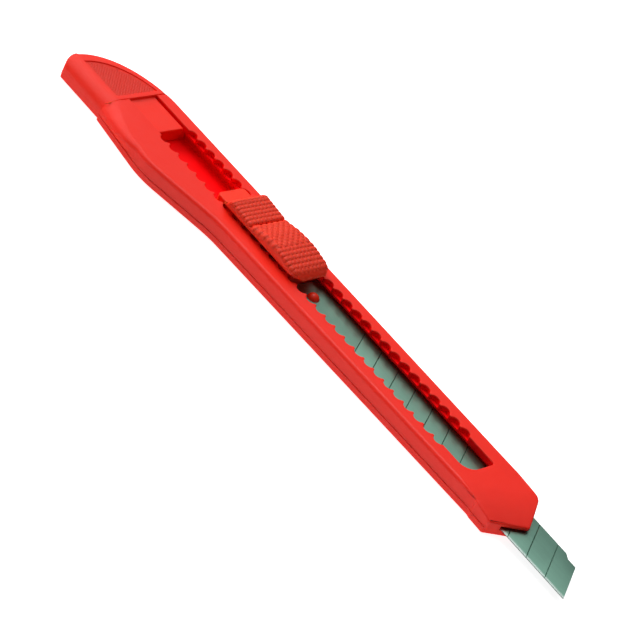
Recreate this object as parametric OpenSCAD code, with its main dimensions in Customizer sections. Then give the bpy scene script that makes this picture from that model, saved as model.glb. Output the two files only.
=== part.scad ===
// Snap-off cutter: a two-shell handle, a pull-off end cap, and a ratcheting thumb slider with its blade.
// X runs from the tail to the tip of the blade, Y from the middle of the blade towards its spine,
// and Z from the flat back of the handle to its slotted face.

/* [Handle] */
// Length of the handle, from the tail to the tip of the nose
handle_l = 131.9; // [130:0.1:136]
// Thickness of the handle
handle_t = 4.3; // [4.3:0.1:4.8]
// Height of the parting line between the two shells
parting_z = 1.4; // [1.3:0.1:1.5]
// Distance of the spine side from the middle of the blade, at the tail
spine_y = 6.5; // [6.3:0.1:6.7]
// Distance of the spine side from the middle of the blade, at the nose
hump_y = 7.1; // [6.9:0.1:7.3]
// Radius that rounds the belly under the rear of the handle
belly_r = 22; // [15:1:26]
// How far the lower shell stands proud of the upper shell at the parting line
rim = 0.15; // [0.05:0.05:0.3]

/* [End cap] */
// Length of the end cap
cap_l = 14.4; // [13:0.1:15]
// Length of the tongue that plugs the slot
tongue_l = 9.6; // [9:0.1:10]
// How far the tongue lies below the slotted face
tongue_drop = 0.5; // [0.3:0.1:0.7]
// Depth of the grip panel
panel_d = 0.2; // [0.15:0.05:0.5]

/* [Slot and ratchet] */
// Half of the width of the slot between the tips of the teeth
slot_half = 3.6; // [3.5:0.05:3.7]
// Distance from the tip of the nose back to the front end of the slot
slot_gap = 14.1; // [13.5:0.1:15]
// Distance between two notches
notch_pitch = 2.867; // [2.8:0.001:2.9]
// Depth of a notch behind the tips of the teeth
notch_d = 0.9; // [0.6:0.05:1]
// Radius of a notch
notch_r = 1.27; // [1.1:0.01:1.35]
// Number of notches in each row
notch_n = 30; // [20:1:31]

/* [Channel] */
// Half of the width of the blade channel
channel_half = 4.8; // [4.7:0.05:5]
// Height of the channel floor
floor_z = 0.95; // [0.8:0.05:1]
// Height of the underside of the ratchet ledges
ledge_z = 2.9; // [2.85:0.05:3]
// Height of the floor of the notches
notch_z = 3.28; // [3.2:0.02:3.4]

/* [Blade] */
// Width of the blade
blade_w = 9; // [8.8:0.1:9]
// Length of the blade
blade_l = 80; // [78:1:84]
// Thickness of the blade
blade_t = 0.4; // [0.35:0.05:0.4]
// How far the blade stands out of the nose
blade_out = 14.3; // [13:0.1:15]
// Length of one snap-off segment
segment_l = 5; // [4:0.5:6]
// Angle of the front edge and of the score lines
score_angle = 60; // [55:1:65]
// Number of score lines
score_n = 12; // [8:1:13]

/* [Slider] */
// Distance from the tail to the rear edge of the slider plate
plate_x = 42.7; // [42:0.1:43.5]
// Distance from the tail to the rear edge of the thumb pad
pad_x = 45.6; // [45:0.1:46]
// Length of the thumb pad
pad_l = 22.5; // [22:0.1:23]
// Half of the width of the thumb pad
pad_half = 4.8; // [4.4:0.1:5.2]
// Height of the highest point of the thumb pad
pad_top = 7.2; // [7:0.1:7.6]
// Radius of the peg that holds the blade
peg_r = 1.2; // [1:0.05:1.3]

/* [Hidden] */
$fn = 64;
eps = 0.01;
over = 5;

// Nose of the upper shell: its tip, its corner on each side, and the hump behind it
nose_tip = [handle_l, 0.1];
nose_spine = [handle_l - 4.6, 6.65];
nose_edge = [handle_l - 3.9, -6.9];
hump = [handle_l - 11, hump_y];
jaw_set_back = 0.35;

// Radii of the corners of the nose, from the edge side round to the hump
nose_edge_r = 0.5;
nose_tip_r = 0.6;
nose_spine_r = 2.6;
hump_r = 20;

// Edge side of the upper shell, from the cap forward
rear_edge = [cap_l, -10.1];
belly = [31.3, -12.3];
waist = [49.2, -8.65];
waist_r = 30;
step_start = [handle_l - 8.7, -6.57];
step_end = [handle_l - 7.9, -6.8];

// Tail: two quarter ellipses that meet at the very end
tail_c = [18.4, -6.5];
tail_rx = tail_c[0];
tail_ry = spine_y - tail_c[1];
heel_c = [2.2, tail_c[1]];
heel_ry = 3.25;
cap_angle = acos((cap_l - tail_c[0]) / tail_rx);
cap_round_w = 3.8;
cap_round_h = 2.6;
cap_under_r = 0.4;
panel_rim = 1.3;
panel_tail = 2.4;
panel_gap = 1.2;
panel_low = -6;

// Roll of the slotted face down to the nose
roll_r = 30;
roll_l = 8.5;
roll_span = 15;
nose_angle = atan2(nose_tip[1] - nose_edge[1], nose_tip[0] - nose_edge[0]);

// Slot, ratchet, channel and the gap between the jaws that the blade leaves by
slot_x = handle_l - slot_gap;
slot_edge_r = 2.8;
slot_spine_r = 0.5;
first_notch_x = slot_x - 8.25;
notch_c = slot_half + notch_d - notch_r;
channel_x = slot_x + 1.4;
jaw_half = 4.65;
jaw_low = 1.5;
jaw_high = 2.45;
jaw_l = 6.5;

// Pegs that join the two shells
join_spots = [[26, 5.5], [58, 5.6], [95, 5.8], [25, -8], [58, -6.6], [95, -6.1]];
join_r = 0.4;
join_h = 1.1;
join_gap = 0.05;

// Blade levels and details
blade_z = 1.6;
blade_top = blade_z + blade_t;
tip_x = handle_l + blade_out;
blade_rear = tip_x - blade_l;
hole_x = blade_rear + 4;
hole_gap = 0.08;
spine_step = 0.8;
step_near = 6.75;
step_far = 8;
grind_w = 0.6;
grind_h = 0.14;
score_w = 0.22;
score_d = 0.1;

// Slider levels and clearances
run_gap = 0.15;
plate_top = handle_t + 0.5;
pad_low = handle_t + 0.9;
neck_half = slot_half - run_gap;
body_half = channel_half - run_gap;
body_low = floor_z + 0.05;
body_top = ledge_z - 0.1;
body_front = blade_rear - 0.2;
carrier_front = hole_x + 2;
carrier_half = 4.2;
peg_top = blade_top + 1;
tongue_root = body_front - 1;
body_rear = plate_x + 1;
plate_rear_r = 0.9;
pad_front_r = 2.2;
pad_rear_r = 1.6;

// Ratchet spring: the notch that its noses rest in, its strip and its post
rest_notch = 18;
nose_x = first_notch_x - rest_notch * notch_pitch;
spring_t = 0.22;
spring_nose_r = 0.95;
spring_nose_y = slot_half + notch_d - 0.1 - spring_nose_r;
spring_low = 3.45;
spring_high = 4.1;
spring_gap = 0.08;
post_r = 0.7;
post_x = nose_x - 5.2;
pocket_rear = post_x - 1.4;
pocket_front = nose_x + 4;
spring_end = [nose_x + 3.2, 2.2];

// The finished part has its origin under the middle of its box
mid_x = tip_x / 2;
mid_y = (hump_y + corner_centre(rear_edge, belly, waist, belly_r)[1] - belly_r) / 2;

function unit(v) = v / norm(v);

// Half of the angle between the two sides of the corner b of the path a, b, c
function half_angle(a, b, c) = acos(unit(a - b) * unit(c - b)) / 2;

// Centre of the circle that rounds the corner b of the path a, b, c
function corner_centre(a, b, c, r) =
    b + unit(unit(a - b) + unit(c - b)) * r / sin(half_angle(a, b, c));

// Points of the arc that rounds the corner b of the path a, b, c
function corner_arc(a, b, c, r, n = 8) =
    let (o = corner_centre(a, b, c, r))
    let (reach = r / tan(half_angle(a, b, c)))
    let (s = b + unit(a - b) * reach - o)
    let (e = b + unit(c - b) * reach - o)
    let (start = atan2(s[1], s[0]))
    let (turn = (atan2(e[1], e[0]) - start + 540) % 360 - 180)
    [for (i = [0:n]) o + r * [cos(start + turn * i / n), sin(start + turn * i / n)]];

// The corner b, rounded where r is more than 0
function soft_corner(a, b, c, r) = r > 0 ? corner_arc(a, b, c, r) : [b];

// Points along an ellipse from the angle a0 to the angle a1
function ellipse_arc(c, rx, ry, a0, a1, n) =
    [for (i = [0:n]) let (a = a0 + (a1 - a0) * i / n) c + [rx * cos(a), ry * sin(a)]];

// Moves the part from its working stations to its own frame
module placed() {
    translate([-mid_x, -mid_y, 0]) children();
}

module block(low, high) {
    translate(low) cube(high - low);
}

// Plan of a shell: grow widens it on both sides, and back sets its nose back
module shell_plan(grow = 0, back = 0) {
    edge = [0, -grow];
    spine = [0, grow];
    set = [-back, 0];
    polygon(concat(
        [rear_edge + edge],
        corner_arc(rear_edge + edge, belly + edge, waist + edge, belly_r, 14),
        corner_arc(belly + edge, waist + edge, step_start + edge, waist_r, 10),
        [step_start + edge, step_end + edge],
        corner_arc(step_end + edge, nose_edge + edge + set, nose_tip + set, nose_edge_r),
        corner_arc(nose_edge + edge + set, nose_tip + set, nose_spine + set, nose_tip_r),
        corner_arc(nose_tip + set, nose_spine + spine + set, hump + spine, nose_spine_r),
        corner_arc(nose_spine + spine + set, hump + spine, [tail_c[0], spine_y + grow], hump_r),
        [for (p = ellipse_arc(tail_c, tail_rx, tail_ry, 90, cap_angle, 3)) p + spine]
    ));
}

// Plan of the end cap
module cap_plan() {
    polygon(concat(
        ellipse_arc(tail_c, tail_rx, tail_ry, cap_angle, 180, 22),
        ellipse_arc(heel_c, heel_c[0], heel_ry, 180, 270, 10),
        [[cap_l, heel_c[1] - heel_ry]]
    ));
}

// Plate seen from above, from x0 to x1, with a radius for each front corner and one for both rear corners
module plate_plan(x0, x1, half, edge_r = 0, spine_r = 0, rear_r = 0) {
    polygon(concat(
        soft_corner([x0, half], [x0, -half], [x1, -half], rear_r),
        soft_corner([x0, -half], [x1, -half], [x1, half], edge_r),
        soft_corner([x1, -half], [x1, half], [x0, half], spine_r),
        soft_corner([x1, half], [x0, half], [x0, -half], rear_r)
    ));
}

// What the roll of the face takes off the nose
module nose_roll() {
    translate([nose_tip[0], nose_tip[1], 0]) rotate(nose_angle) difference() {
        block([-roll_span, -over, handle_t - over / 2], [roll_span, roll_l, handle_t + over]);
        translate([-2 * roll_span, roll_l, handle_t - roll_r])
            rotate([0, 90, 0])
            cylinder(h = 4 * roll_span, r = roll_r, $fn = 360);
    }
}

module upper_shell() {
    color("#F83C2E") placed() difference() {
        translate([0, 0, parting_z]) linear_extrude(handle_t - parting_z) shell_plan();
        block([cap_l - over, -channel_half, 0], [channel_x, channel_half, ledge_z]);
        block([channel_x - eps, -jaw_half, 0], [handle_l + over, jaw_half, jaw_high]);
        translate([0, 0, ledge_z - eps]) linear_extrude(handle_t)
            plate_plan(cap_l - over, slot_x, slot_half, slot_edge_r, slot_spine_r);
        for (i = [0:notch_n - 1], side = [-1, 1]) {
            translate([first_notch_x - i * notch_pitch, side * notch_c, notch_z])
                cylinder(h = handle_t, r = notch_r);
        }
        for (p = join_spots) {
            translate([p[0], p[1], 0])
                cylinder(h = parting_z + join_h + join_gap, r = join_r + join_gap);
        }
        nose_roll();
    }
}

module lower_shell() {
    color("#E83226") placed() {
        difference() {
            linear_extrude(parting_z) shell_plan(rim, jaw_set_back);
            block([cap_l - over, -channel_half, floor_z], [channel_x, channel_half, handle_t]);
        }
        // Raised bed that guides the blade between the jaws
        bed_half = jaw_half - run_gap;
        block([channel_x, -bed_half, parting_z - eps], [channel_x + jaw_l, bed_half, jaw_low]);
        for (p = join_spots) {
            translate([p[0], p[1], parting_z - eps]) cylinder(h = join_h, r = join_r);
        }
    }
}

// Section of the end cap across Y, rounded along its edge side
module cap_section() {
    low = heel_c[1] - heel_ry;
    round_z = handle_t - cap_round_h;
    polygon(concat(
        ellipse_arc([low + cap_under_r, cap_under_r], cap_under_r, cap_under_r, 270, 180, 6),
        ellipse_arc([low + cap_round_w, round_z], cap_round_w, cap_round_h, 180, 90, 10),
        [[hump_y + over, handle_t], [hump_y + over, 0]]
    ));
}

// Plan of the grip panel, inside the rim of the end cap
module panel_plan() {
    intersection() {
        polygon(concat(
            ellipse_arc(tail_c, tail_rx - panel_tail, tail_ry - panel_rim, 90, 180, 20),
            [tail_c]
        ));
        translate([0, panel_low]) square([cap_l - panel_gap, 2 * tail_ry]);
    }
}

module end_cap() {
    color("#F53428") placed() {
        difference() {
            intersection() {
                linear_extrude(handle_t) cap_plan();
                rotate([90, 0, 90]) linear_extrude(cap_l) cap_section();
            }
            translate([0, 0, handle_t - panel_d]) linear_extrude(over) panel_plan();
        }
        // Plug in the channel, and the tongue in the slot above it
        plug_half = channel_half - run_gap;
        plug_low = floor_z + run_gap;
        plug_end = cap_l + tongue_l;
        tongue_half = slot_half - 2 * run_gap;
        block([cap_l - eps, -plug_half, plug_low], [plug_end, plug_half, ledge_z - run_gap]);
        block([cap_l - eps, -tongue_half, plug_low], [plug_end, tongue_half, handle_t - tongue_drop]);
    }
}

// Blade seen from above, with a small step in its spine behind the tip
module blade_plan() {
    half = blade_w / 2;
    polygon([
        [tip_x, -half],
        [tip_x - (blade_w - spine_step) / tan(score_angle), half - spine_step],
        [tip_x - step_near, half - spine_step],
        [tip_x - step_far, half],
        [blade_rear, half],
        [blade_rear, -half]
    ]);
}

module blade() {
    half = blade_w / 2;
    score_l = blade_w / sin(score_angle);
    color("#7FA596") placed() difference() {
        translate([0, 0, blade_z]) linear_extrude(blade_t) blade_plan();
        translate([hole_x, 0, 0]) cylinder(h = handle_t, r = peg_r + hole_gap);
        // The ground bevels leave the cutting edge half way up
        for (side = [-1, 1]) {
            translate([blade_rear - over, -half, blade_z + blade_t / 2])
                rotate([90, 0, 90])
                linear_extrude(blade_l + 2 * over)
                polygon([
                    [-eps, side * (blade_t / 2 - grind_h)],
                    [grind_w, side * blade_t / 2],
                    [-eps, side * blade_t]
                ]);
        }
        // Score lines, each a shallow groove along the snapping angle
        for (i = [1:score_n]) {
            translate([tip_x - i * segment_l, -half, blade_top])
                rotate(180 - score_angle)
                rotate([90, 0, 90])
                translate([0, 0, -over])
                linear_extrude(score_l + 2 * over)
                polygon([[-score_w / 2, eps], [score_w / 2, eps], [0, -score_d]]);
        }
    }
}

module blade_carrier() {
    color("#E02A1E") placed() {
        // Tongue under the blade, with the round-topped peg that holds it
        translate([0, 0, body_low])
            linear_extrude(blade_z - body_low)
            plate_plan(tongue_root, carrier_front, carrier_half, 1, 1);
        translate([hole_x, 0, body_low]) cylinder(h = peg_top - peg_r - body_low, r = peg_r);
        intersection() {
            translate([hole_x, 0, peg_top - peg_r]) sphere(r = peg_r);
            block([hole_x - over, -over, body_low], [hole_x + over, over, peg_top + over]);
        }
        // Body in the channel and neck in the slot, with a pocket for the spring
        difference() {
            union() {
                block([body_rear, -body_half, body_low], [body_front, body_half, body_top]);
                translate([0, 0, body_top - eps])
                    linear_extrude(plate_top - body_top + eps)
                    plate_plan(plate_x, body_front, neck_half, rear_r = plate_rear_r);
            }
            pocket_low = spring_low - spring_gap;
            block([pocket_rear, -over, pocket_low], [pocket_front, over, spring_high + spring_gap]);
        }
        translate([post_x, 0, body_top]) cylinder(h = plate_top - body_top - eps, r = post_r);
    }
}

// Strip of the spring between two points
module strip(a, b) {
    d = b - a;
    translate(a) rotate(atan2(d[1], d[0])) translate([0, -spring_t / 2]) square([norm(d), spring_t]);
}

// Half of a ring of strip, on the +Y side
module half_ring(outer) {
    difference() {
        circle(outer);
        circle(outer - spring_t);
        translate([-2 * outer, -2 * outer]) square([4 * outer, 2 * outer]);
    }
}

module ratchet_spring() {
    bend_r = post_r + spring_gap + spring_t;
    nose_mid = spring_nose_r - spring_t / 2;
    color("#A8ADB0") placed() translate([0, 0, spring_low]) linear_extrude(spring_high - spring_low) {
        translate([post_x, 0]) rotate(90) half_ring(bend_r);
        for (side = [0, 1]) {
            mirror([0, side]) {
                strip([post_x - eps, bend_r - spring_t / 2], [nose_x - nose_mid, spring_nose_y + eps]);
                translate([nose_x, spring_nose_y]) half_ring(spring_nose_r);
                strip([nose_x + nose_mid, spring_nose_y + eps], spring_end);
            }
        }
    }
}

// Side view of the thumb pad, with a thin groove between its rear and front blocks
module pad_profile() {
    rear_top = pad_top - 0.4;
    groove_x = pad_x + 8.1;
    groove_low = plate_top + 1;
    front_x = pad_x + pad_l;
    polygon([
        [pad_x, plate_top],
        [pad_x + 1.6, rear_top - 0.2],
        [pad_x + 2, rear_top],
        [groove_x - 0.3, rear_top - 0.45],
        [groove_x - 0.1, groove_low],
        [groove_x + 0.1, groove_low],
        [groove_x + 0.3, rear_top - 0.5],
        [pad_x + 12, pad_top - 0.2],
        [pad_x + 15, pad_top],
        [pad_x + 17.5, pad_top - 0.2],
        [front_x - 1.6, pad_top - 0.8],
        [front_x - 0.5, pad_top - 1.2],
        [front_x, pad_low + 0.2],
        [front_x - 0.2, pad_low],
        [body_front, pad_low],
        [body_front, plate_top]
    ]);
}

module thumb_pad() {
    color("#FF4638") placed() difference() {
        intersection() {
            translate([0, pad_half, 0]) rotate([90, 0, 0]) linear_extrude(2 * pad_half) pad_profile();
            linear_extrude(2 * pad_top)
                plate_plan(pad_x, pad_x + pad_l, pad_half, pad_front_r, pad_front_r, pad_rear_r);
        }
        // Space under the two overhanging sides
        for (side = [-1, 1]) {
            translate([0, side * (neck_half + pad_half) / 2, pad_low - over / 2])
                cube([4 * pad_x, pad_half - neck_half, over], center = true);
        }
    }
}

upper_shell();
lower_shell();
end_cap();
blade_carrier();
thumb_pad();
ratchet_spring();
blade();
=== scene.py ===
"""Snap-off cutter: moulded red shells, end cap and thumb slider, with a scored carbon steel blade."""

import math

import bmesh
import bpy
from mathutils import Euler, Matrix, Vector


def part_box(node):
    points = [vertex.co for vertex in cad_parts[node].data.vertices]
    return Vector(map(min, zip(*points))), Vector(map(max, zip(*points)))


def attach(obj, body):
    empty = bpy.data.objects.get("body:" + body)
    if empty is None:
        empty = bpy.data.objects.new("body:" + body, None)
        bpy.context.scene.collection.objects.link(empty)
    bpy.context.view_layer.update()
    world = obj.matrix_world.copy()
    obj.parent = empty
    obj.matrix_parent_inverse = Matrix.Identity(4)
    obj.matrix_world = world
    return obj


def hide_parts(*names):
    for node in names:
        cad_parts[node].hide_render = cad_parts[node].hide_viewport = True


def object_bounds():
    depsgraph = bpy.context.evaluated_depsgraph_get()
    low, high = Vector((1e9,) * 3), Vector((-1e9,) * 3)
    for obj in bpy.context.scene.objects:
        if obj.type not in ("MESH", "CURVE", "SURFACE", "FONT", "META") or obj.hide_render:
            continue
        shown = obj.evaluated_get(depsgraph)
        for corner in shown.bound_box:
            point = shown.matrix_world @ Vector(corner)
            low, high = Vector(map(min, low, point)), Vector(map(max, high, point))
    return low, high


bl_info = {
    "name": "Snap-off Cutter",
    "version": (1, 0, 0),
    "blender": (4, 5, 0),
    "location": "View3D > Sidebar > Cutter",
    "description": "Builds the finished pieces of a snap-off cutter around its CAD frame",
    "category": "Object",
}

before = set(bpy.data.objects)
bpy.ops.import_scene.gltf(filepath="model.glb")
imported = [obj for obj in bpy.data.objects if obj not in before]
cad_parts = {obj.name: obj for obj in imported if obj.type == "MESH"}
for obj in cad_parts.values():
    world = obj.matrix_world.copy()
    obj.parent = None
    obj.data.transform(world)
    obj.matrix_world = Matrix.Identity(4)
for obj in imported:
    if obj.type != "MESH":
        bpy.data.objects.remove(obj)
LOW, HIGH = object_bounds()
MM = 0.001
# What lies this close to a plane counts as lying on it
NEAR = 0.01 * MM
UP = Vector((0, 0, 1))
# Lines that look down for a surface start here
ABOVE_Z = HIGH.z + 1 * MM

BLADE_LOW, BLADE_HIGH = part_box("blade")
SHELL_LOW, SHELL_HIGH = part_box("upper_shell")
CAP_LOW, CAP_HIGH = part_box("end_cap")
PAD_LOW, PAD_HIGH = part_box("thumb_pad")
# Middle line of the blade, which the slot and the slider also run along
AXIS_Y = (BLADE_LOW.y + BLADE_HIGH.y) / 2
FACE_Z = SHELL_HIGH.z
PARTING_Z = SHELL_LOW.z
NOSE_X = SHELL_HIGH.x
# The end cap meets the shells at the rear end of the upper shell
JOINT_X = SHELL_LOW.x
SHELL_REAR_Y = min(v.co.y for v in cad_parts["upper_shell"].data.vertices if v.co.x < JOINT_X + NEAR)

# Only the ridges and the outer walls of the shells lie further than this from the middle line
OUTER_Y = 4.9 * MM
# Behind the nose: the part that is rounded right across, and the jaws that the blade comes out between
NOSE_LENGTH = 12 * MM
JAW_LENGTH = 5 * MM
JAW_TOP_Z = 2.6 * MM
# The long ridges grow sharper towards the nose, from this far behind it and over this length
RIDGE_FADE = 17 * MM
RIDGE_FADE_LENGTH = 7 * MM
NOSE_ROUND = 0.3 * MM
# Rounding of the upright corners of both shells
UPRIGHT_ROUND = 0.3 * MM
# Distance between two notches, and from the nose back to the front tip of the foremost notch
NOTCH_PITCH = 2.867 * MM
FRONT_TIP = 20.917 * MM
# Stations along the thumb pad from its rear end: the groove, and the line where the knurl turns square again
PAD_GROOVE = 8.1 * MM
PAD_TURN = 15.2 * MM
# The blade snaps along lines 5 mm apart that lean 60 degrees
SEGMENT_L = 5 * MM
SCORE_COUNT = 12
SCORE_SLANT = 1 / math.tan(math.radians(60))


def linear(code):
    """Linear colour of an sRGB hex value."""
    parts = [int(code[i:i + 2], 16) / 255 for i in (1, 3, 5)]
    return tuple(c / 12.92 if c <= 0.04045 else ((c + 0.055) / 1.055) ** 2.4 for c in parts)


class ShellLooks(bpy.types.PropertyGroup):
    red: bpy.props.FloatVectorProperty(
        name="Shell red", description="Colour of the moulded shells",
        subtype="COLOR", default=linear("#F52007"), min=0, max=1)
    ridge_round: bpy.props.FloatProperty(
        name="Ridge rounding", description="Rounding of the long ridge on the edge side of the face",
        default=0.85 * MM, min=0.1 * MM, max=1 * MM, unit="LENGTH")
    spine_round: bpy.props.FloatProperty(
        name="Spine rounding", description="Rounding of the long ridge on the spine side of the face",
        default=0.45 * MM, min=0.1 * MM, max=0.7 * MM, unit="LENGTH")
    slot_round: bpy.props.FloatProperty(
        name="Slot rounding", description="Rounding of the edges of the slot and its notches",
        default=0.12 * MM, min=0.04 * MM, max=0.2 * MM, unit="LENGTH")
    shoulder_round: bpy.props.FloatProperty(
        name="Shoulder rounding", description="Rounding of the face beside the end cap, which fades out",
        default=2.5 * MM, min=1 * MM, max=2.6 * MM, unit="LENGTH")
    shoulder_length: bpy.props.FloatProperty(
        name="Shoulder length", description="Distance over which the shoulder rounding fades out",
        default=17 * MM, min=8 * MM, max=25 * MM, unit="LENGTH")
    groove_round: bpy.props.FloatProperty(
        name="Groove rounding", description="Rounding of the two edges where the end cap meets the shells",
        default=0.2 * MM, min=0.1 * MM, max=0.3 * MM, unit="LENGTH")


class CapLooks(bpy.types.PropertyGroup):
    red: bpy.props.FloatVectorProperty(
        name="Cap red", description="Colour of the moulded end cap",
        subtype="COLOR", default=linear("#FA2309"), min=0, max=1)
    rim_round: bpy.props.FloatProperty(
        name="Rim rounding", description="Rounding of the outline of the end cap",
        default=0.5 * MM, min=0.2 * MM, max=0.9 * MM, unit="LENGTH")
    grip_pitch: bpy.props.FloatProperty(
        name="Grip pitch", description="Distance between two points of the grip panel",
        default=0.5 * MM, min=0.4 * MM, max=1 * MM, unit="LENGTH")
    grip_height: bpy.props.FloatProperty(
        name="Grip height", description="Height of the points of the grip panel",
        default=0.05 * MM, min=0.04 * MM, max=0.25 * MM, unit="LENGTH")


class SliderLooks(bpy.types.PropertyGroup):
    red: bpy.props.FloatVectorProperty(
        name="Slider red", description="Colour of the moulded slider",
        subtype="COLOR", default=linear("#FF300C"), min=0, max=1)
    pad_round: bpy.props.FloatProperty(
        name="Pad rounding", description="Rounding of the sides of the thumb pad",
        default=0.9 * MM, min=0.2 * MM, max=1 * MM, unit="LENGTH")
    knurl_pitch: bpy.props.FloatProperty(
        name="Knurl pitch", description="Distance between two points of the knurl",
        default=1.02 * MM, min=0.8 * MM, max=1.4 * MM, unit="LENGTH")
    knurl_height: bpy.props.FloatProperty(
        name="Knurl height", description="Height of the points of the knurl",
        default=0.115 * MM, min=0.1 * MM, max=0.3 * MM, unit="LENGTH")


class BladeLooks(bpy.types.PropertyGroup):
    steel: bpy.props.FloatVectorProperty(
        name="Blade steel", description="Colour of the polished strip steel",
        subtype="COLOR", default=linear("#96C7B3"), min=0, max=1)
    ground: bpy.props.FloatVectorProperty(
        name="Ground edge", description="Colour of the freshly ground edge",
        subtype="COLOR", default=linear("#C4D8D0"), min=0, max=1)
    spring_steel: bpy.props.FloatVectorProperty(
        name="Spring steel", description="Colour of the ratchet spring",
        subtype="COLOR", default=linear("#A9AEB2"), min=0, max=1)


class StageLooks(bpy.types.PropertyGroup):
    window_power: bpy.props.FloatProperty(
        name="Window light", description="Power of the large low light behind the tail",
        default=23, min=0, max=50, unit="POWER")
    overhead_power: bpy.props.FloatProperty(
        name="Overhead light", description="Power of the soft light above",
        default=1.1, min=0, max=50, unit="POWER")
    ridge_power: bpy.props.FloatProperty(
        name="Ridge light", description="Power of the small light that draws a line along the ridge",
        default=0.38, min=0, max=10, unit="POWER")
    bright_side: bpy.props.FloatProperty(
        name="Bright side", description="Strength of the room light above the tail",
        default=1.2, min=0, max=5)
    dim_side: bpy.props.FloatProperty(
        name="Dim side", description="Strength of the room light everywhere else",
        default=0.08, min=0, max=5)


# ---------------------------------------------------------------- materials

def add_node(tree, kind, settings=None, links=None, **attributes):
    """Adds a node of a kind, sets its attributes and input values, and links other sockets to its inputs."""
    node = tree.nodes.new(kind)
    for key, value in attributes.items():
        setattr(node, key, value)
    for key, value in (settings or {}).items():
        node.inputs[key].default_value = value
    for key, socket in (links or {}).items():
        tree.links.new(socket, node.inputs[key])
    return node


def new_material(name):
    """An empty node material, with its tree and the socket of its Object coordinates."""
    material = bpy.data.materials.new(name)
    material.use_nodes = True
    tree = material.node_tree
    tree.nodes.clear()
    return material, tree, add_node(tree, "ShaderNodeTexCoord").outputs["Object"]


def opaque(color, factor=1):
    """A colour made lighter or darker by a factor, with the full alpha that a socket takes."""
    return tuple(min(1, c * factor) for c in color) + (1,)


def channel_shade_mask(tree, place):
    """A socket that is 1 on the floor and the walls inside the channel, where shade is painted, and 0
    everywhere else.
    """
    axes = add_node(tree, "ShaderNodeSeparateXYZ", {}, {"Vector": place})
    aside = add_node(tree, "ShaderNodeMath", {1: AXIS_Y}, {0: axes.outputs["Y"]}, operation="SUBTRACT")
    distance = add_node(tree, "ShaderNodeMath", {}, {0: aside.outputs[0]}, operation="ABSOLUTE")
    # It ends short of the outer walls, the flat back, the face and the nose, over 0.1 or 0.2 mm
    limits = (
        (distance.outputs[0], 4.85 * MM, 4.75 * MM),
        (axes.outputs["Z"], 0.4 * MM, 0.5 * MM),
        (axes.outputs["Z"], FACE_Z - 0.2 * MM, FACE_Z - 0.3 * MM),
        (axes.outputs["X"], NOSE_X - 13.5 * MM, NOSE_X - 13.7 * MM),
    )
    shade_mask = None
    for socket, outside, inside in limits:
        step = add_node(tree, "ShaderNodeMapRange", {"From Min": outside, "From Max": inside},
                        {"Value": socket})
        if shade_mask is None:
            shade_mask = step.outputs["Result"]
        else:
            both = add_node(tree, "ShaderNodeMath", {}, {0: shade_mask, 1: step.outputs["Result"]},
                            operation="MULTIPLY")
            shade_mask = both.outputs[0]
    return shade_mask


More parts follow.
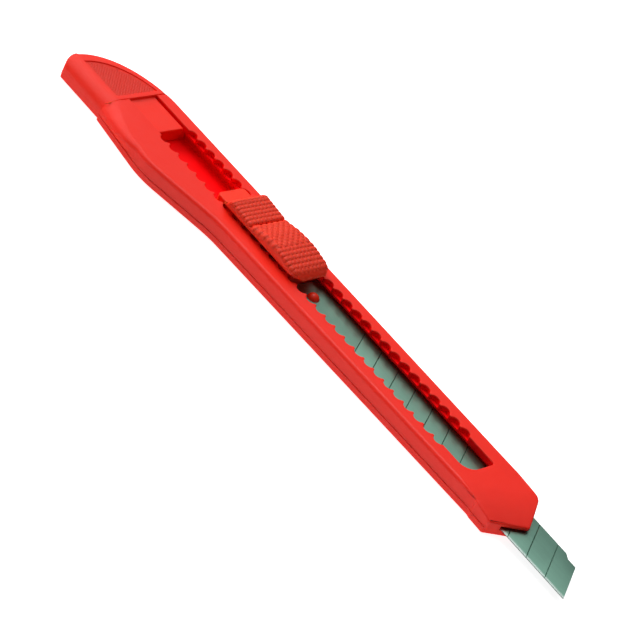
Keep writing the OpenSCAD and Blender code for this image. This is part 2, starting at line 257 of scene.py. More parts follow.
def moulded_plastic(name, red, gloss=0.42, shaded_matt_channel=False):
    """Polystyrene or polypropylene from a polished mould: an even, slightly waxy shine on every edge."""
    material, tree, place = new_material(name)
    # Pigment flows a little unevenly as the mould fills: broad bands about 12 mm long that hardly differ
    flow = add_node(tree, "ShaderNodeMapping", {"Scale": (0.35, 1, 1)}, {"Vector": place})
    bands = add_node(tree, "ShaderNodeTexNoise", {"Scale": 1 / (12 * MM), "Detail": 3, "Roughness": 0.5},
                     {"Vector": flow.outputs[0]})
    light_red = opaque([c * 1.06 + 0.004 for c in red])
    tint = add_node(tree, "ShaderNodeMix", {"A": opaque(red, 0.93), "B": light_red},
                    {"Factor": bands.outputs["Fac"]}, data_type="RGBA")
    # The polish of the mould wears in patches of about 3 mm, so the shine is never quite even
    polish = add_node(tree, "ShaderNodeTexNoise", {"Scale": 1 / (3 * MM), "Detail": 4, "Roughness": 0.6},
                      {"Vector": place})
    shine = add_node(tree, "ShaderNodeMapRange",
                     {"From Min": 0.3, "From Max": 0.7, "To Min": gloss - 0.04, "To Max": gloss + 0.06},
                     {"Value": polish.outputs["Fac"]})
    # Fine orange peel about 0.35 mm across, over very faint handling scratches that run along the cutter
    peel = add_node(tree, "ShaderNodeTexNoise", {"Scale": 1 / (0.35 * MM), "Detail": 2, "Roughness": 0.5},
                    {"Vector": place})
    lengthways = add_node(tree, "ShaderNodeMapping",
                          {"Scale": (0.06, 1, 1), "Rotation": (0, 0, math.radians(4))}, {"Vector": place})
    scratches = add_node(tree, "ShaderNodeTexNoise",
                         {"Scale": 1 / (0.25 * MM), "Detail": 1, "Roughness": 0.4},
                         {"Vector": lengthways.outputs[0]})
    thin = add_node(tree, "ShaderNodeMapRange", {"From Min": 0.66, "From Max": 0.74, "To Max": -0.5},
                    {"Value": scratches.outputs["Fac"]})
    relief = add_node(tree, "ShaderNodeMath", {}, {0: peel.outputs["Fac"], 1: thin.outputs["Result"]},
                      operation="ADD")
    bump = add_node(tree, "ShaderNodeBump", {"Strength": 0.05, "Distance": 0.05 * MM},
                    {"Height": relief.outputs[0]})
    links = {"Base Color": tint.outputs["Result"], "Roughness": shine.outputs["Result"],
             "Normal": bump.outputs["Normal"]}
    if shaded_matt_channel:
        # Painted shade: the floor and walls inside the channel, where little light reaches, are painted a
        # deeper, darker red, and their shine is turned down so that they look matt
        shade_mask = channel_shade_mask(tree, place)
        channel_shade_red = opaque((red[0] * 1.15, red[1] * 0.15, red[2] * 2))
        channel_shade = add_node(tree, "ShaderNodeMix", {"B": channel_shade_red}, {"Factor": shade_mask, "A": tint.outputs["Result"]},
                        data_type="RGBA")
        level = add_node(tree, "ShaderNodeMapRange", {"To Min": 0.5, "To Max": 0.08}, {"Value": shade_mask})
        links["Base Color"] = channel_shade.outputs["Result"]
        links["Specular IOR Level"] = level.outputs["Result"]
    shader = add_node(tree, "ShaderNodeBsdfPrincipled",
                      {"Metallic": 0, "IOR": 1.53, "Subsurface Weight": 0.3,
                       "Subsurface Radius": (1, 0.12, 0.06), "Subsurface Scale": 1.2 * MM}, links)
    add_node(tree, "ShaderNodeOutputMaterial", {}, {"Surface": shader.outputs[0]})
    return material


def strip_steel(name, steel, ground):
    """Cold rolled, hardened carbon steel: a grey-green sheen, a bright ground edge, and score lines painted
    dark for the shade in their grooves.
    """
    material, tree, place = new_material(name)
    # Rolling leaves fine lines along the strip, drawn as coarse as they need to be to show, 0.3 mm apart
    rolled = add_node(tree, "ShaderNodeMapping", {"Scale": (0.04, 1, 1)}, {"Vector": place})
    lines = add_node(tree, "ShaderNodeTexNoise", {"Scale": 1 / (0.3 * MM), "Detail": 2, "Roughness": 0.5},
                     {"Vector": rolled.outputs[0]})
    # Temper film: soft patches about 9 mm across
    film = add_node(tree, "ShaderNodeTexNoise", {"Scale": 1 / (9 * MM), "Detail": 2, "Roughness": 0.5},
                    {"Vector": place})
    blend = add_node(tree, "ShaderNodeMath", {1: 0.35}, {0: lines.outputs["Fac"], 2: film.outputs["Fac"]},
                     operation="MULTIPLY_ADD")
    shade = add_node(tree, "ShaderNodeMapRange", {"From Min": 0.4, "From Max": 0.95},
                     {"Value": blend.outputs[0]})
    body = add_node(tree, "ShaderNodeMix", {"A": opaque(steel, 0.9), "B": opaque(steel, 1.12)},
                    {"Factor": shade.outputs["Result"]}, data_type="RGBA")
    # The outer 0.4 mm of the ground bevel is bare steel along the cutting edge
    axes = add_node(tree, "ShaderNodeSeparateXYZ", {}, {"Vector": place})
    edge = add_node(tree, "ShaderNodeMapRange",
                    {"From Min": BLADE_LOW.y + 0.45 * MM, "From Max": BLADE_LOW.y + 0.35 * MM},
                    {"Value": axes.outputs["Y"]})
    bright = add_node(tree, "ShaderNodeMix", {"B": opaque(ground)},
                      {"Factor": edge.outputs["Result"], "A": body.outputs["Result"]}, data_type="RGBA")
    # Score lines about 0.25 mm wide are painted dark for the shade in their grooves, and slant across every 5
    # mm back from the point
    start = (BLADE_HIGH.x + BLADE_LOW.y * SCORE_SLANT) / SEGMENT_L
    slant = add_node(tree, "ShaderNodeMath", {1: -SCORE_SLANT / SEGMENT_L, 2: start},
                     {0: axes.outputs["Y"]}, operation="MULTIPLY_ADD")
    count = add_node(tree, "ShaderNodeMath", {1: -1 / SEGMENT_L},
                     {0: axes.outputs["X"], 2: slant.outputs[0]}, operation="MULTIPLY_ADD")
    nearest = add_node(tree, "ShaderNodeMath", {1: 0.5}, {0: count.outputs[0]}, operation="PINGPONG")
    score = add_node(tree, "ShaderNodeMapRange",
                     {"From Min": 0.14 * MM / SEGMENT_L, "From Max": 0.07 * MM / SEGMENT_L},
                     {"Value": nearest.outputs[0]})
    # The front edge itself would be line 0, and the scoring stops at the last segment that can be snapped off
    inside = add_node(tree, "ShaderNodeMath", {1: (SCORE_COUNT + 1) / 2, 2: SCORE_COUNT / 2},
                      {0: count.outputs[0]}, operation="COMPARE")
    score_shade = add_node(tree, "ShaderNodeMath", {}, {0: score.outputs["Result"], 1: inside.outputs[0]},
                    operation="MULTIPLY")
    score_shaded = add_node(tree, "ShaderNodeMix", {"B": opaque(steel, 0.6)},
                      {"Factor": score_shade.outputs[0], "A": bright.outputs["Result"]}, data_type="RGBA")
    roughness = add_node(tree, "ShaderNodeMapRange",
                         {"From Min": 0.3, "From Max": 0.7, "To Min": 0.36, "To Max": 0.44},
                         {"Value": lines.outputs["Fac"]})
    bump = add_node(tree, "ShaderNodeBump", {"Strength": 0.05, "Distance": 0.02 * MM},
                    {"Height": lines.outputs["Fac"]})
    shader = add_node(tree, "ShaderNodeBsdfPrincipled", {"Metallic": 1},
                      {"Base Color": score_shaded.outputs["Result"], "Roughness": roughness.outputs["Result"],
                       "Normal": bump.outputs["Normal"]})
    add_node(tree, "ShaderNodeOutputMaterial", {}, {"Surface": shader.outputs[0]})
    return material


def drawn_spring_steel(name, steel):
    """Spring steel strip, cut and bent: a neutral grey with fine drawing lines along its height."""
    material, tree, place = new_material(name)
    # Drawing leaves fine lines, drawn 0.1 mm apart so that they show in a close view
    drawn = add_node(tree, "ShaderNodeMapping", {"Scale": (1, 1, 0.1)}, {"Vector": place})
    lines = add_node(tree, "ShaderNodeTexNoise", {"Scale": 1 / (0.1 * MM), "Detail": 2},
                     {"Vector": drawn.outputs[0]})
    tone = add_node(tree, "ShaderNodeMix", {"A": opaque(steel, 0.88), "B": opaque(steel, 1.1)},
                    {"Factor": lines.outputs["Fac"]}, data_type="RGBA")
    bump = add_node(tree, "ShaderNodeBump", {"Strength": 0.1, "Distance": 0.01 * MM},
                    {"Height": lines.outputs["Fac"]})
    shader = add_node(tree, "ShaderNodeBsdfPrincipled", {"Metallic": 1, "Roughness": 0.32},
                      {"Base Color": tone.outputs["Result"], "Normal": bump.outputs["Normal"]})
    add_node(tree, "ShaderNodeOutputMaterial", {}, {"Surface": shader.outputs[0]})
    return material


def lit_acrylic(name):
    """White acrylic sheet lit from below: almost no shadow, and soft light on what stands on it."""
    material, tree, place = new_material(name)
    haze = add_node(tree, "ShaderNodeTexNoise", {"Scale": 8, "Detail": 2}, {"Vector": place})
    tone = add_node(tree, "ShaderNodeMix", {"A": opaque((0.58, 0.58, 0.58)), "B": opaque((0.62, 0.62, 0.62))},
                    {"Factor": haze.outputs["Fac"]}, data_type="RGBA")
    shader = add_node(tree, "ShaderNodeBsdfPrincipled",
                      {"Roughness": 0.6, "Specular IOR Level": 0.1, "Emission Color": (1, 1, 1, 1),
                       "Emission Strength": 0.9}, {"Base Color": tone.outputs["Result"]})
    add_node(tree, "ShaderNodeOutputMaterial", {}, {"Surface": shader.outputs[0]})
    return material


# ---------------------------------------------------------------- modelling

def nothing_selected():
    """Leaves edit mode and deselects everything."""
    if bpy.context.object and bpy.context.object.mode != "OBJECT":
        bpy.ops.object.mode_set(mode="OBJECT")
    bpy.ops.object.select_all(action="DESELECT")


def work_on(piece):
    """Makes piece the only selected object, and the active one."""
    nothing_selected()
    piece.select_set(True)
    bpy.context.view_layer.objects.active = piece


def copy_of(node, name):
    """A new piece with the shape of a CAD node, merged from its loose triangles into whole faces."""
    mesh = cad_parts[node].data.copy()
    mesh.name = name
    mesh.materials.clear()
    piece = bpy.data.objects.new(name, mesh)
    bpy.context.scene.collection.objects.link(piece)
    work_on(piece)
    bpy.ops.object.mode_set(mode="EDIT")
    bpy.ops.mesh.select_all(action="SELECT")
    bpy.ops.mesh.remove_doubles(threshold=0.002 * MM)
    bpy.ops.mesh.dissolve_limited(angle_limit=math.radians(0.3))
    bpy.ops.mesh.faces_shade_flat()
    bpy.ops.object.mode_set(mode="OBJECT")
    for attribute in ("custom_normal", "sharp_edge"):
        if attribute in mesh.attributes:
            mesh.attributes.remove(mesh.attributes[attribute])
    return piece


def edit_edges(piece):
    """Opens piece for work on its edges, with nothing selected, and returns its editable shape."""
    work_on(piece)
    bpy.ops.object.mode_set(mode="EDIT")
    bpy.ops.mesh.select_mode(type="EDGE")
    bpy.ops.mesh.select_all(action="DESELECT")
    return bmesh.from_edit_mesh(piece.data)


def split_edges(piece, test, length):
    """Subdivides the edges that test picks into steps of about length."""
    picked = [edge for edge in edit_edges(piece).edges if test(edge) and edge.calc_length() > length]
    for edge in picked:
        edge.select = True
    if picked:
        longest = max(edge.calc_length() for edge in picked)
        bmesh.update_edit_mesh(piece.data)
        bpy.ops.mesh.subdivide(number_cuts=int(longest / length))
    bpy.ops.object.mode_set(mode="OBJECT")


def split_at(piece, test, y):
    """Splits the one edge that test picks, at y."""
    picked = [edge for edge in edit_edges(piece).edges if test(edge)]
    if len(picked) != 1:
        raise RuntimeError(f"{piece.name}: {len(picked)} edges to split at {y}, and not one")
    picked[0].select = True
    center = middle(picked[0])
    bpy.ops.mesh.subdivide(number_cuts=1)
    # The new vertex is the one in the middle, and moves to y
    bpy.ops.mesh.select_mode(type="VERT")
    bpy.ops.mesh.select_all(action="DESELECT")
    shape = bmesh.from_edit_mesh(piece.data)
    min(shape.verts, key=lambda vertex: (vertex.co - center).length).select = True
    bmesh.update_edit_mesh(piece.data)
    bpy.ops.transform.translate(value=(0, y - center.y, 0))
    bpy.ops.object.mode_set(mode="OBJECT")


def cut_across(piece, places):
    """Cuts every face along planes across the length, so that no face spans more than a short stretch."""
    work_on(piece)
    bpy.ops.object.mode_set(mode="EDIT")
    for x in places:
        bpy.ops.mesh.select_all(action="SELECT")
        bpy.ops.mesh.bisect(plane_co=(x, 0, 0), plane_no=(1, 0, 0))
    bpy.ops.object.mode_set(mode="OBJECT")


def middle(edge):
    """The middle of an edge."""
    return (edge.verts[0].co + edge.verts[1].co) / 2


def along(edge):
    """The direction of an edge."""
    return (edge.verts[1].co - edge.verts[0].co).normalized()


def fold(edge):
    """How sharply an edge is folded, in degrees: positive where the shape sticks out, negative inwards."""
    return math.degrees(edge.calc_face_angle_signed(0)) if len(edge.link_faces) == 2 else 0


def faces_up(edge):
    """Whether a face beside the edge looks up."""
    return any(face.normal.z > 0.9 for face in edge.link_faces)


def faces_out(edge):
    """Whether a face beside the edge is a wall."""
    return any(abs(face.normal.z) < 0.3 for face in edge.link_faces)


def is_outer(m):
    """Whether m lies on the outer ridges and walls of the shells, or on their nose."""
    return abs(m.y - AXIS_Y) > OUTER_Y or m.x > NOSE_X - NOSE_LENGTH


def ramp(value, start, length):
    """How far value has come along a stretch from start, from 0 to 1."""
    return max(0, min(1, (value - start) / length))


def look_down(thing, x, y):
    """What a line straight down at x, y meets: whether it meets thing, the place, and the normal there."""
    return thing.ray_cast(Vector((x, y, ABOVE_Z)), -UP)[:3]


def cross(reach):
    """Four steps of reach, one each way along X and Y."""
    return ((reach, 0), (-reach, 0), (0, reach), (0, -reach))


def round_edges(piece, radius_at, segments=3):
    """Rounds each edge by the radius that radius_at(edge) gives it, all in one pass."""
    work_on(piece)
    shape = bmesh.new()
    shape.from_mesh(piece.data)
    # Edges that bend less than 14 degrees belong to a curved surface
    radii = [radius_at(edge) if fold(edge) > 14 else 0 for edge in shape.edges]
    widest = max(radii)
    layers = shape.edges.layers.float
    weight = layers.get("bevel_weight_edge") or layers.new("bevel_weight_edge")
    for edge, radius in zip(shape.edges, radii):
        edge[weight] = radius / widest
    shape.to_mesh(piece.data)
    shape.free()
    rounding = piece.modifiers.new("rounded edges", "BEVEL")
    rounding.width = widest
    rounding.segments = segments
    rounding.limit_method = "WEIGHT"
    rounding.use_clamp_overlap = False
    rounding.miter_outer = "MITER_SHARP"
    bpy.ops.object.modifier_apply(modifier=rounding.name)
    if "bevel_weight_edge" in piece.data.attributes:
        piece.data.attributes.remove(piece.data.attributes["bevel_weight_edge"])


def finish(piece, body, node, material, smooth=40):
    """Shades a piece, gives it its material, and sets it on its CAD body in place of its CAD node."""
    work_on(piece)
    bpy.ops.object.shade_smooth_by_angle(angle=math.radians(smooth))
    flats = piece.modifiers.new("flat faces stay flat", "WEIGHTED_NORMAL")
    flats.keep_sharp = True
    flats.weight = 50
    bpy.ops.object.modifier_apply(modifier=flats.name)
    piece.data.materials.clear()
    piece.data.materials.append(material)
    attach(piece, body)
    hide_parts(node)
    nothing_selected()


def grip_point(name, pitch, height):
    """One point of a grip: a soft pillow that meets its neighbours at the face, and is sunk below it."""
    # An ellipsoid of this width comes back down to the face half a pitch out when it is sunk this deep
    width = 1.47 * pitch
    sink = 2.75 * height
    nothing_selected()
    bpy.ops.mesh.primitive_uv_sphere_add(
        segments=8, ring_count=6, radius=0.5, location=(0, 0, -sink),
        rotation=(0, 0, math.radians(22.5)), scale=(width, width, 2 * (height + sink)))
    point = bpy.context.object
    point.name = name
    bpy.ops.object.transform_apply(location=True, rotation=True, scale=True)
    # The vertices are drawn out by up to a quarter towards the corners, which makes the round pillow squarer
    for vertex in point.data.vertices:
        co = vertex.co
        reach = max(abs(co.x), abs(co.y))
        if reach > 0:
            squarer = 1 + 0.25 * (1 - abs(abs(co.x) - abs(co.y)) / reach)
            co.x *= squarer
            co.y *= squarer
    return point


def add_points(piece, point, places):
    """Joins a copy of a grip point to piece at each of places, all matrices, and removes the first one."""
    copies = []
    for place in places:
        copy = bpy.data.objects.new(point.name, point.data.copy())
        copy.data.transform(place)
        bpy.context.scene.collection.objects.link(copy)
        copies.append(copy)
    bpy.data.objects.remove(point)
    work_on(piece)
    for copy in copies:
        copy.select_set(True)
    bpy.ops.object.join()
    nothing_selected()


def belly_outline():
    """Points of the wall on the edge side of the shell, from the end cap to past the belly, by x."""
    return sorted({(round(v.co.x, 7), round(v.co.y, 7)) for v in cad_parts["upper_shell"].data.vertices
                   if v.co.z < PARTING_Z + NEAR and v.co.y < AXIS_Y - 8 * MM and v.co.x < JOINT_X + 30 * MM})


def height_at(outline, x):
    """The y of an outline at x, and of its nearer end beyond its ends."""
    for (x0, y0), (x1, y1) in zip(outline, outline[1:]):
        if x0 <= x <= x1 and x1 > x0:
            return y0 + (y1 - y0) * (x - x0) / (x1 - x0)
    return outline[0][1] if x < outline[0][0] else outline[-1][1]


# ---------------------------------------------------------------- pieces

class CUTTER_OT_upper_shell(bpy.types.Operator):
    """Slotted upper shell with its notches, rolled nose and soft shoulder"""
    bl_idname = "cutter.upper_shell"
    bl_label = "Upper Shell"

    def execute(self, context):
        looks = context.scene.cutter_shell
        piece = copy_of("upper_shell", "slotted_upper_shell")
        edge_y = AXIS_Y - OUTER_Y
        fade_x = JOINT_X + looks.shoulder_length
        # The shoulder starts here on the rear edge, where the groove beside the end cap gives way to it
        groove_y = SHELL_REAR_Y + 1.8 * looks.shoulder_round

        def shoulder_at(x):
            left = 1 - ramp(x, JOINT_X, looks.shoulder_length)
            return looks.ridge_round + (looks.shoulder_round - looks.ridge_round) * left ** 1.4

        def on_shoulder(edge):
            m = middle(edge)
            return m.z > FACE_Z - NEAR and m.y < edge_y and m.x < fade_x and abs(along(edge).x) > 0.5

        def on_rear_edge(edge):
            m = middle(edge)
            return m.x < JOINT_X + NEAR and faces_up(edge) and m.y < edge_y

        def radius_at(edge):
            m = middle(edge)
            outside = is_outer(m)
            # What meets the lower shell stays sharp
            if m.z < PARTING_Z + 0.05 * MM:
                return 0
            if on_shoulder(edge):
                return shoulder_at(m.x)
            if m.x < JOINT_X + NEAR:
                return looks.groove_round if faces_up(edge) and m.y > groove_y else 0
            # The mouth between the jaws
            if m.x > NOSE_X - JAW_LENGTH and m.z < JAW_TOP_Z:
                return 0.1 * MM
            # The ridges
            if outside and faces_out(edge) and abs(along(edge).z) < 0.5:
                ridge = looks.ridge_round if m.y < AXIS_Y else looks.spine_round
                return ridge + (NOSE_ROUND - ridge) * ramp(m.x, NOSE_X - RIDGE_FADE, RIDGE_FADE_LENGTH)
            # Upright corners, and then the slot and its notches
            if abs(along(edge).z) > 0.9:
                return UPRIGHT_ROUND if outside else 0
            return looks.slot_round if m.z > FACE_Z - 0.02 * MM else 0

        # The cuts run through the tips between the notches, and on at the same pitch to both ends
        cut_across(piece, [NOSE_X - FRONT_TIP - i * NOTCH_PITCH for i in range(-5, 34)])
        split_edges(piece, on_shoulder, 1.2 * MM)
        split_at(piece, on_rear_edge, groove_y)
        round_edges(piece, radius_at, segments=4)
        # The shoulder is up to half wider than it is high, so its inner side is drawn in over the face
        belly = belly_outline()
        for vertex in piece.data.vertices:
            co = vertex.co
            if co.x < fade_x and co.y < edge_y and co.z > PARTING_Z + 0.1 * MM:
                wall = height_at(belly, co.x)
                if co.y - wall < shoulder_at(co.x) + 0.05 * MM:
                    left = 1 - ramp(co.x, JOINT_X, looks.shoulder_length)
                    co.y = wall + (co.y - wall) * (1 + 0.5 * left)
        # The floor and walls of the channel get painted shade
        plastic = moulded_plastic("moulded_polystyrene_upper", looks.red, shaded_matt_channel=True)
        finish(piece, "handle", "upper_shell", plastic)
        return {"FINISHED"}


class CUTTER_OT_lower_shell(bpy.types.Operator):
    """Flat lower shell, which stands a little proud of the upper one along the parting line"""
    bl_idname = "cutter.lower_shell"
    bl_label = "Lower Shell"

    def execute(self, context):
        looks = context.scene.cutter_shell
        piece = copy_of("lower_shell", "flat_lower_shell")

        def radius_at(edge):
            m = middle(edge)
            # The inside of the channel, the bottom edge, the upright corners, and last the parting line
            if not is_outer(m):
                return 0.05 * MM
            if m.z < NEAR:
                return 0.35 * MM
            if abs(along(edge).z) > 0.9:
                return UPRIGHT_ROUND
            return 0.14 * MM if abs(m.z - PARTING_Z) < NEAR else 0.04 * MM

        round_edges(piece, radius_at)
        # The floor and walls of the channel get painted shade
        plastic = moulded_plastic("moulded_polystyrene_lower", looks.red, shaded_matt_channel=True)
        finish(piece, "handle", "lower_shell", plastic)
        return {"FINISHED"}


class CUTTER_OT_end_cap(bpy.types.Operator):
    """Pull-off end cap with its tongue, rounded rim and recessed grip panel"""
    bl_idname = "cutter.end_cap"
    bl_label = "End Cap"

    def execute(self, context):
        looks = context.scene.cutter_cap
        piece = copy_of("end_cap", "pull_off_end_cap")
        cad_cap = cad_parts["end_cap"]

        def in_panel(m):
            """Whether the cap lies all round m, as it does round an edge of the panel."""
            return all(look_down(cad_cap, m.x + dx, m.y + dy)[0] for dx, dy in cross(0.1 * MM))

        def radius_at(edge):
            m = middle(edge)
            # The tongue, then the face beside the shells, the rim and the panel, and last the bottom edge
            if m.x > JOINT_X + NEAR:
                return 0.18 * MM
            if m.x > JOINT_X - NEAR:
                return context.scene.cutter_shell.groove_round if m.z > FACE_Z - 1.2 * MM else 0
            if m.z > FACE_Z - NEAR:
                square = all(face.normal.z > 0.9 or abs(face.normal.z) < 0.1 for face in edge.link_faces)
                if not square:
                    return 0
                return 0.12 * MM if in_panel(m) else looks.rim_round
            return 0.7 * MM if m.z < NEAR and fold(edge) > 60 else 0

        round_edges(piece, radius_at, segments=4)
        # Where roundings meet at the tail corner nothing may dip below the back
        for vertex in piece.data.vertices:
            vertex.co.z = max(CAP_LOW.z, vertex.co.z)

        # Points of the grip stand in diagonal rows across the panel, wherever its floor is clear of the rim
        floor_z = look_down(cad_cap, JOINT_X - 5 * MM, AXIS_Y)[1].z
        clearance = cross(0.42 * MM) + ((0.3 * MM, 0.3 * MM), (-0.3 * MM, 0.3 * MM))

        def is_clear(x, y):
            for dx, dy in clearance:
                hit, spot = look_down(cad_cap, x + dx, y + dy)[:2]
                if not hit or abs(spot.z - floor_z) >= 0.02 * MM:
                    return False
            return True

        # The rows cross 8 mm behind the joint, and run on past the ends of the cap
        row = looks.grip_pitch / math.sqrt(2)
        steps = int(24 * MM / looks.grip_pitch)
        turn = Matrix.Rotation(math.radians(45), 4, "Z")
        places = []
        for i in range(-steps, steps):
            for j in range(-steps, steps):
                x = JOINT_X - 8 * MM + (i + j) * row
                y = AXIS_Y + (i - j) * row
                if CAP_LOW.x < x < JOINT_X and CAP_LOW.y < y < CAP_HIGH.y and is_clear(x, y):
                    places.append(Matrix.Translation((x, y, floor_z)) @ turn)
        add_points(piece, grip_point("grip_point", looks.grip_pitch, looks.grip_height), places)
        plastic = moulded_plastic("moulded_polystyrene_cap", looks.red)
        finish(piece, "cap", "end_cap", plastic)
        return {"FINISHED"}


class CUTTER_OT_blade_carrier(bpy.types.Operator):
    """Slider carrier that runs in the channel, with the round peg that holds the blade"""
    bl_idname = "cutter.blade_carrier"
    bl_label = "Blade Carrier"

    def execute(self, context):
        piece = copy_of("blade_carrier", "slider_carrier")

        def radius_at(edge):
            # What stands above the face is rounded more than the plate in the channel
            if fold(edge) < 30:
                return 0
            return 0.25 * MM if middle(edge).z > FACE_Z else 0.1 * MM

        round_edges(piece, radius_at)
        plastic = moulded_plastic("moulded_polypropylene_carrier", context.scene.cutter_slider.red, gloss=0.4)
        finish(piece, "slider", "blade_carrier", plastic)
        return {"FINISHED"}


class CUTTER_OT_thumb_pad(bpy.types.Operator):
    """Knurled thumb pad with a groove between its rear and front blocks"""
    bl_idname = "cutter.thumb_pad"
    bl_label = "Thumb Pad"

    def execute(self, context):
        looks = context.scene.cutter_slider
        piece = copy_of("thumb_pad", "knurled_thumb_pad")
        pitch = looks.knurl_pitch

        def radius_at(edge):
            m = middle(edge)
            # Below the floor of the groove the pad only has its foot
            if m.z < PAD_LOW.z + 1.05 * MM:
                return 0.1 * MM
            if abs(along(edge).z) > 0.8 and abs(fold(edge)) < 60:
                return 0
            if abs(along(edge).y) > 0.9:
                return 0.3 * MM if fold(edge) > 30 else 0
            on_side = min(m.y - PAD_LOW.y, PAD_HIGH.y - m.y) < 0.02 * MM
            return looks.pad_round if on_side or abs(fold(edge)) > 60 else 0

        def knurled(x, y, turn):
            """The place of a point of the knurl on top of the pad, or None where there is no room for it."""
            hit, spot, normal = look_down(piece, x, y)
            room = all(look_down(piece, x + dx, y + dy)[0] for dx, dy in cross(0.3 * MM))
            if not (hit and room and normal.z > 0.55):
                return None
            upright = UP.rotation_difference(normal).to_matrix().to_4x4()
            return Matrix.Translation(spot) @ upright @ Matrix.Rotation(turn, 4, "Z")

        round_edges(piece, radius_at, segments=4)
        context.view_layer.update()
        # The knurl is square behind the groove, turned to diamonds ahead of it, and square again in front.
        # Each stretch keeps clear of the ends of the pad, the groove and the line where the knurl turns.
        groove_x = PAD_LOW.x + PAD_GROOVE
        turn_x = PAD_LOW.x + PAD_TURN
        stretches = (
            (PAD_LOW.x + 1.7 * MM, groove_x - 0.7 * MM, False),
            (groove_x + 0.75 * MM, turn_x, True),
            (turn_x + 0.9 * MM, PAD_HIGH.x - 1.2 * MM, False),
        )
        places = []
        for start, end, diagonal in stretches:
            rows = round((end - start) / (pitch * (math.sqrt(0.5) if diagonal else 1)))
            across = pitch * (math.sqrt(2) if diagonal else 1)
            for row in range(rows + 1):
                x = start + row * (end - start) / rows
                shift = 0.5 if diagonal and row % 2 else 0
                for column in range(-5, 6):
                    turn = math.radians(45 if diagonal else 0)
                    places.append(knurled(x, AXIS_Y + (column + shift) * across, turn))
        point = grip_point("knurl_point", pitch, looks.knurl_height)
        add_points(piece, point, [place for place in places if place])
        plastic = moulded_plastic("moulded_polypropylene_pad", looks.red, gloss=0.52)
        finish(piece, "slider", "thumb_pad", plastic)
        return {"FINISHED"}


class CUTTER_OT_ratchet_spring(bpy.types.Operator):
    """Bent steel spring whose two noses rest in the notches"""
    bl_idname = "cutter.ratchet_spring"
    bl_label = "Ratchet Spring"

    def execute(self, context):
        piece = copy_of("ratchet_spring", "ratchet_leaf_spring")
        round_edges(piece, lambda edge: 0.03 * MM if fold(edge) > 60 else 0, segments=2)
        steel = drawn_spring_steel("bent_spring_steel", context.scene.cutter_blade.spring_steel)
        finish(piece, "slider", "ratchet_spring", steel)
        return {"FINISHED"}


class CUTTER_OT_blade(bpy.types.Operator):
    """Scored snap-off blade with its ground cutting edge"""
    bl_idname = "cutter.blade"
    bl_label = "Blade"

    def execute(self, context):
        looks = context.scene.cutter_blade
        piece = copy_of("blade", "snap_off_blade")

        def radius_at(edge):
            # The cutting edge itself stays sharp
            return 0.03 * MM if fold(edge) > 60 and middle(edge).y > BLADE_LOW.y + 0.1 * MM else 0

        round_edges(piece, radius_at, segments=2)
        steel = strip_steel("rolled_carbon_steel", looks.steel, looks.ground)
        finish(piece, "slider", "blade", steel, smooth=20)
        return {"FINISHED"}


# ---------------------------------------------------------------- stage

def soft_light(name, power, size, place):
    """A square area light at a place, aimed at the origin."""
    data = bpy.data.lights.new(name, "AREA")
    data.energy = power
    data.size = size
    lamp = bpy.data.objects.new(name, data)
    lamp.location = place
    lamp.rotation_euler = (-Vector(place)).to_track_quat("-Z", "Y").to_euler()
    bpy.context.scene.collection.objects.link(lamp)
    return lamp


def pale_room(bright_side, dim_side):
    """Room light that is brightest above the tail, and falls off towards the nose and the walls."""
    room = bpy.data.worlds.new("pale_room")
    room.use_nodes = True
    tree = room.node_tree
    tree.nodes.clear()
    place = add_node(tree, "ShaderNodeTexCoord")
    side = add_node(tree, "ShaderNodeVectorMath", {1: (-0.7, 0.1, 0.7)}, {0: place.outputs["Generated"]},
                    operation="DOT_PRODUCT")
    strength = add_node(tree, "ShaderNodeMapRange",
                        {"From Min": 0.64, "From Max": 1.0, "To Min": dim_side, "To Max": bright_side},
                        {"Value": side.outputs["Value"]}, interpolation_type="SMOOTHSTEP")
    background = add_node(tree, "ShaderNodeBackground", {"Color": (1, 1, 1, 1)},
                          {"Strength": strength.outputs["Result"]})
    add_node(tree, "ShaderNodeOutputWorld", {}, {"Surface": background.outputs[0]})
    return room


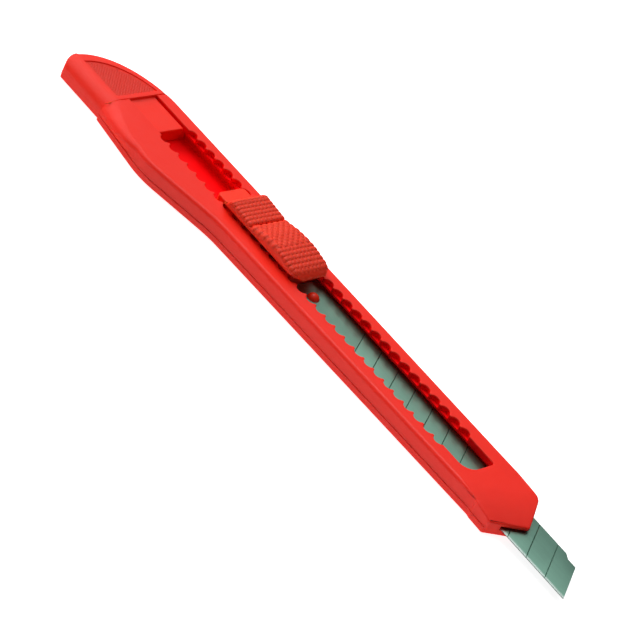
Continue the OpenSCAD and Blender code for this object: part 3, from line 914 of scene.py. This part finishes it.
class CUTTER_OT_stage(bpy.types.Operator):
    """Pale floor, soft studio light and camera"""
    bl_idname = "cutter.stage"
    bl_label = "Stage"

    def execute(self, context):
        looks = context.scene.cutter_stage
        nothing_selected()
        bpy.ops.mesh.primitive_plane_add(size=6, location=(0, 0, -0.02 * MM))
        floor = context.object
        floor.name = "studio_floor"
        floor.data.materials.append(lit_acrylic("lit_white_acrylic"))

        window = soft_light("window_light", looks.window_power, 0.9, (-1.35, 0.12, 0.64))
        overhead = soft_light("overhead_light", looks.overhead_power, 0.5, (0.05, 0.25, 0.65))
        # A small lamp shines in a thin line along the ridge of the edge side
        soft_light("ridge_light", looks.ridge_power, 0.2, (-0.136, 0.06, 0.56))
        # The other lamps and the floor give soft light only, and the plastic shines with the room's light
        for soft in (window, overhead, floor):
            soft.visible_glossy = False
        context.scene.world = pale_room(looks.bright_side, looks.dim_side)
        context.scene.view_settings.view_transform = "Standard"

        data = bpy.data.cameras.new("studio_camera")
        data.lens = 151.07
        data.sensor_width = 36
        data.clip_start = 0.01
        camera = bpy.data.objects.new("studio_camera", data)
        camera.location = (0.21631, -0.34568, 0.27491)
        camera.rotation_euler = Euler([math.radians(a) for a in (52.514, -23.574, 48.823)], "XYZ")
        context.scene.collection.objects.link(camera)
        context.scene.camera = camera
        nothing_selected()
        return {"FINISHED"}


class CUTTER_PT_sidebar(bpy.types.Panel):
    """Lists the pieces of the cutter and what can be changed about them"""
    bl_idname = "CUTTER_PT_sidebar"
    bl_label = "Cutter"
    bl_space_type = "VIEW_3D"
    bl_region_type = "UI"
    bl_category = "Cutter"

    def draw(self, context):
        for title, group, operators in PARTS:
            box = self.layout.box()
            box.label(text=title)
            looks = getattr(context.scene, group)
            for name in looks.bl_rna.properties.keys():
                if name not in ("rna_type", "name"):
                    box.prop(looks, name)
            for name in operators:
                box.operator("cutter." + name)


PARTS = (
    ("Shells", "cutter_shell", ("upper_shell", "lower_shell")),
    ("End cap", "cutter_cap", ("end_cap",)),
    ("Slider", "cutter_slider", ("blade_carrier", "thumb_pad")),
    ("Blade and spring", "cutter_blade", ("ratchet_spring", "blade")),
    ("Stage", "cutter_stage", ("stage",)),
)
GROUPS = {
    "cutter_shell": ShellLooks,
    "cutter_cap": CapLooks,
    "cutter_slider": SliderLooks,
    "cutter_blade": BladeLooks,
    "cutter_stage": StageLooks,
}
OPERATORS = (
    CUTTER_OT_upper_shell,
    CUTTER_OT_lower_shell,
    CUTTER_OT_end_cap,
    CUTTER_OT_blade_carrier,
    CUTTER_OT_thumb_pad,
    CUTTER_OT_ratchet_spring,
    CUTTER_OT_blade,
    CUTTER_OT_stage,
)


def register():
    for group in GROUPS.values():
        bpy.utils.register_class(group)
    for name, group in GROUPS.items():
        setattr(bpy.types.Scene, name, bpy.props.PointerProperty(type=group))
    for operator in OPERATORS:
        bpy.utils.register_class(operator)
    bpy.utils.register_class(CUTTER_PT_sidebar)


def unregister():
    bpy.utils.unregister_class(CUTTER_PT_sidebar)
    for operator in reversed(OPERATORS):
        bpy.utils.unregister_class(operator)
    for name, group in GROUPS.items():
        delattr(bpy.types.Scene, name)
        bpy.utils.unregister_class(group)


def main():
    register()
    for title, group, operators in PARTS:
        for name in operators:
            getattr(bpy.ops.cutter, name)()


if __name__ == "__main__":
    main()
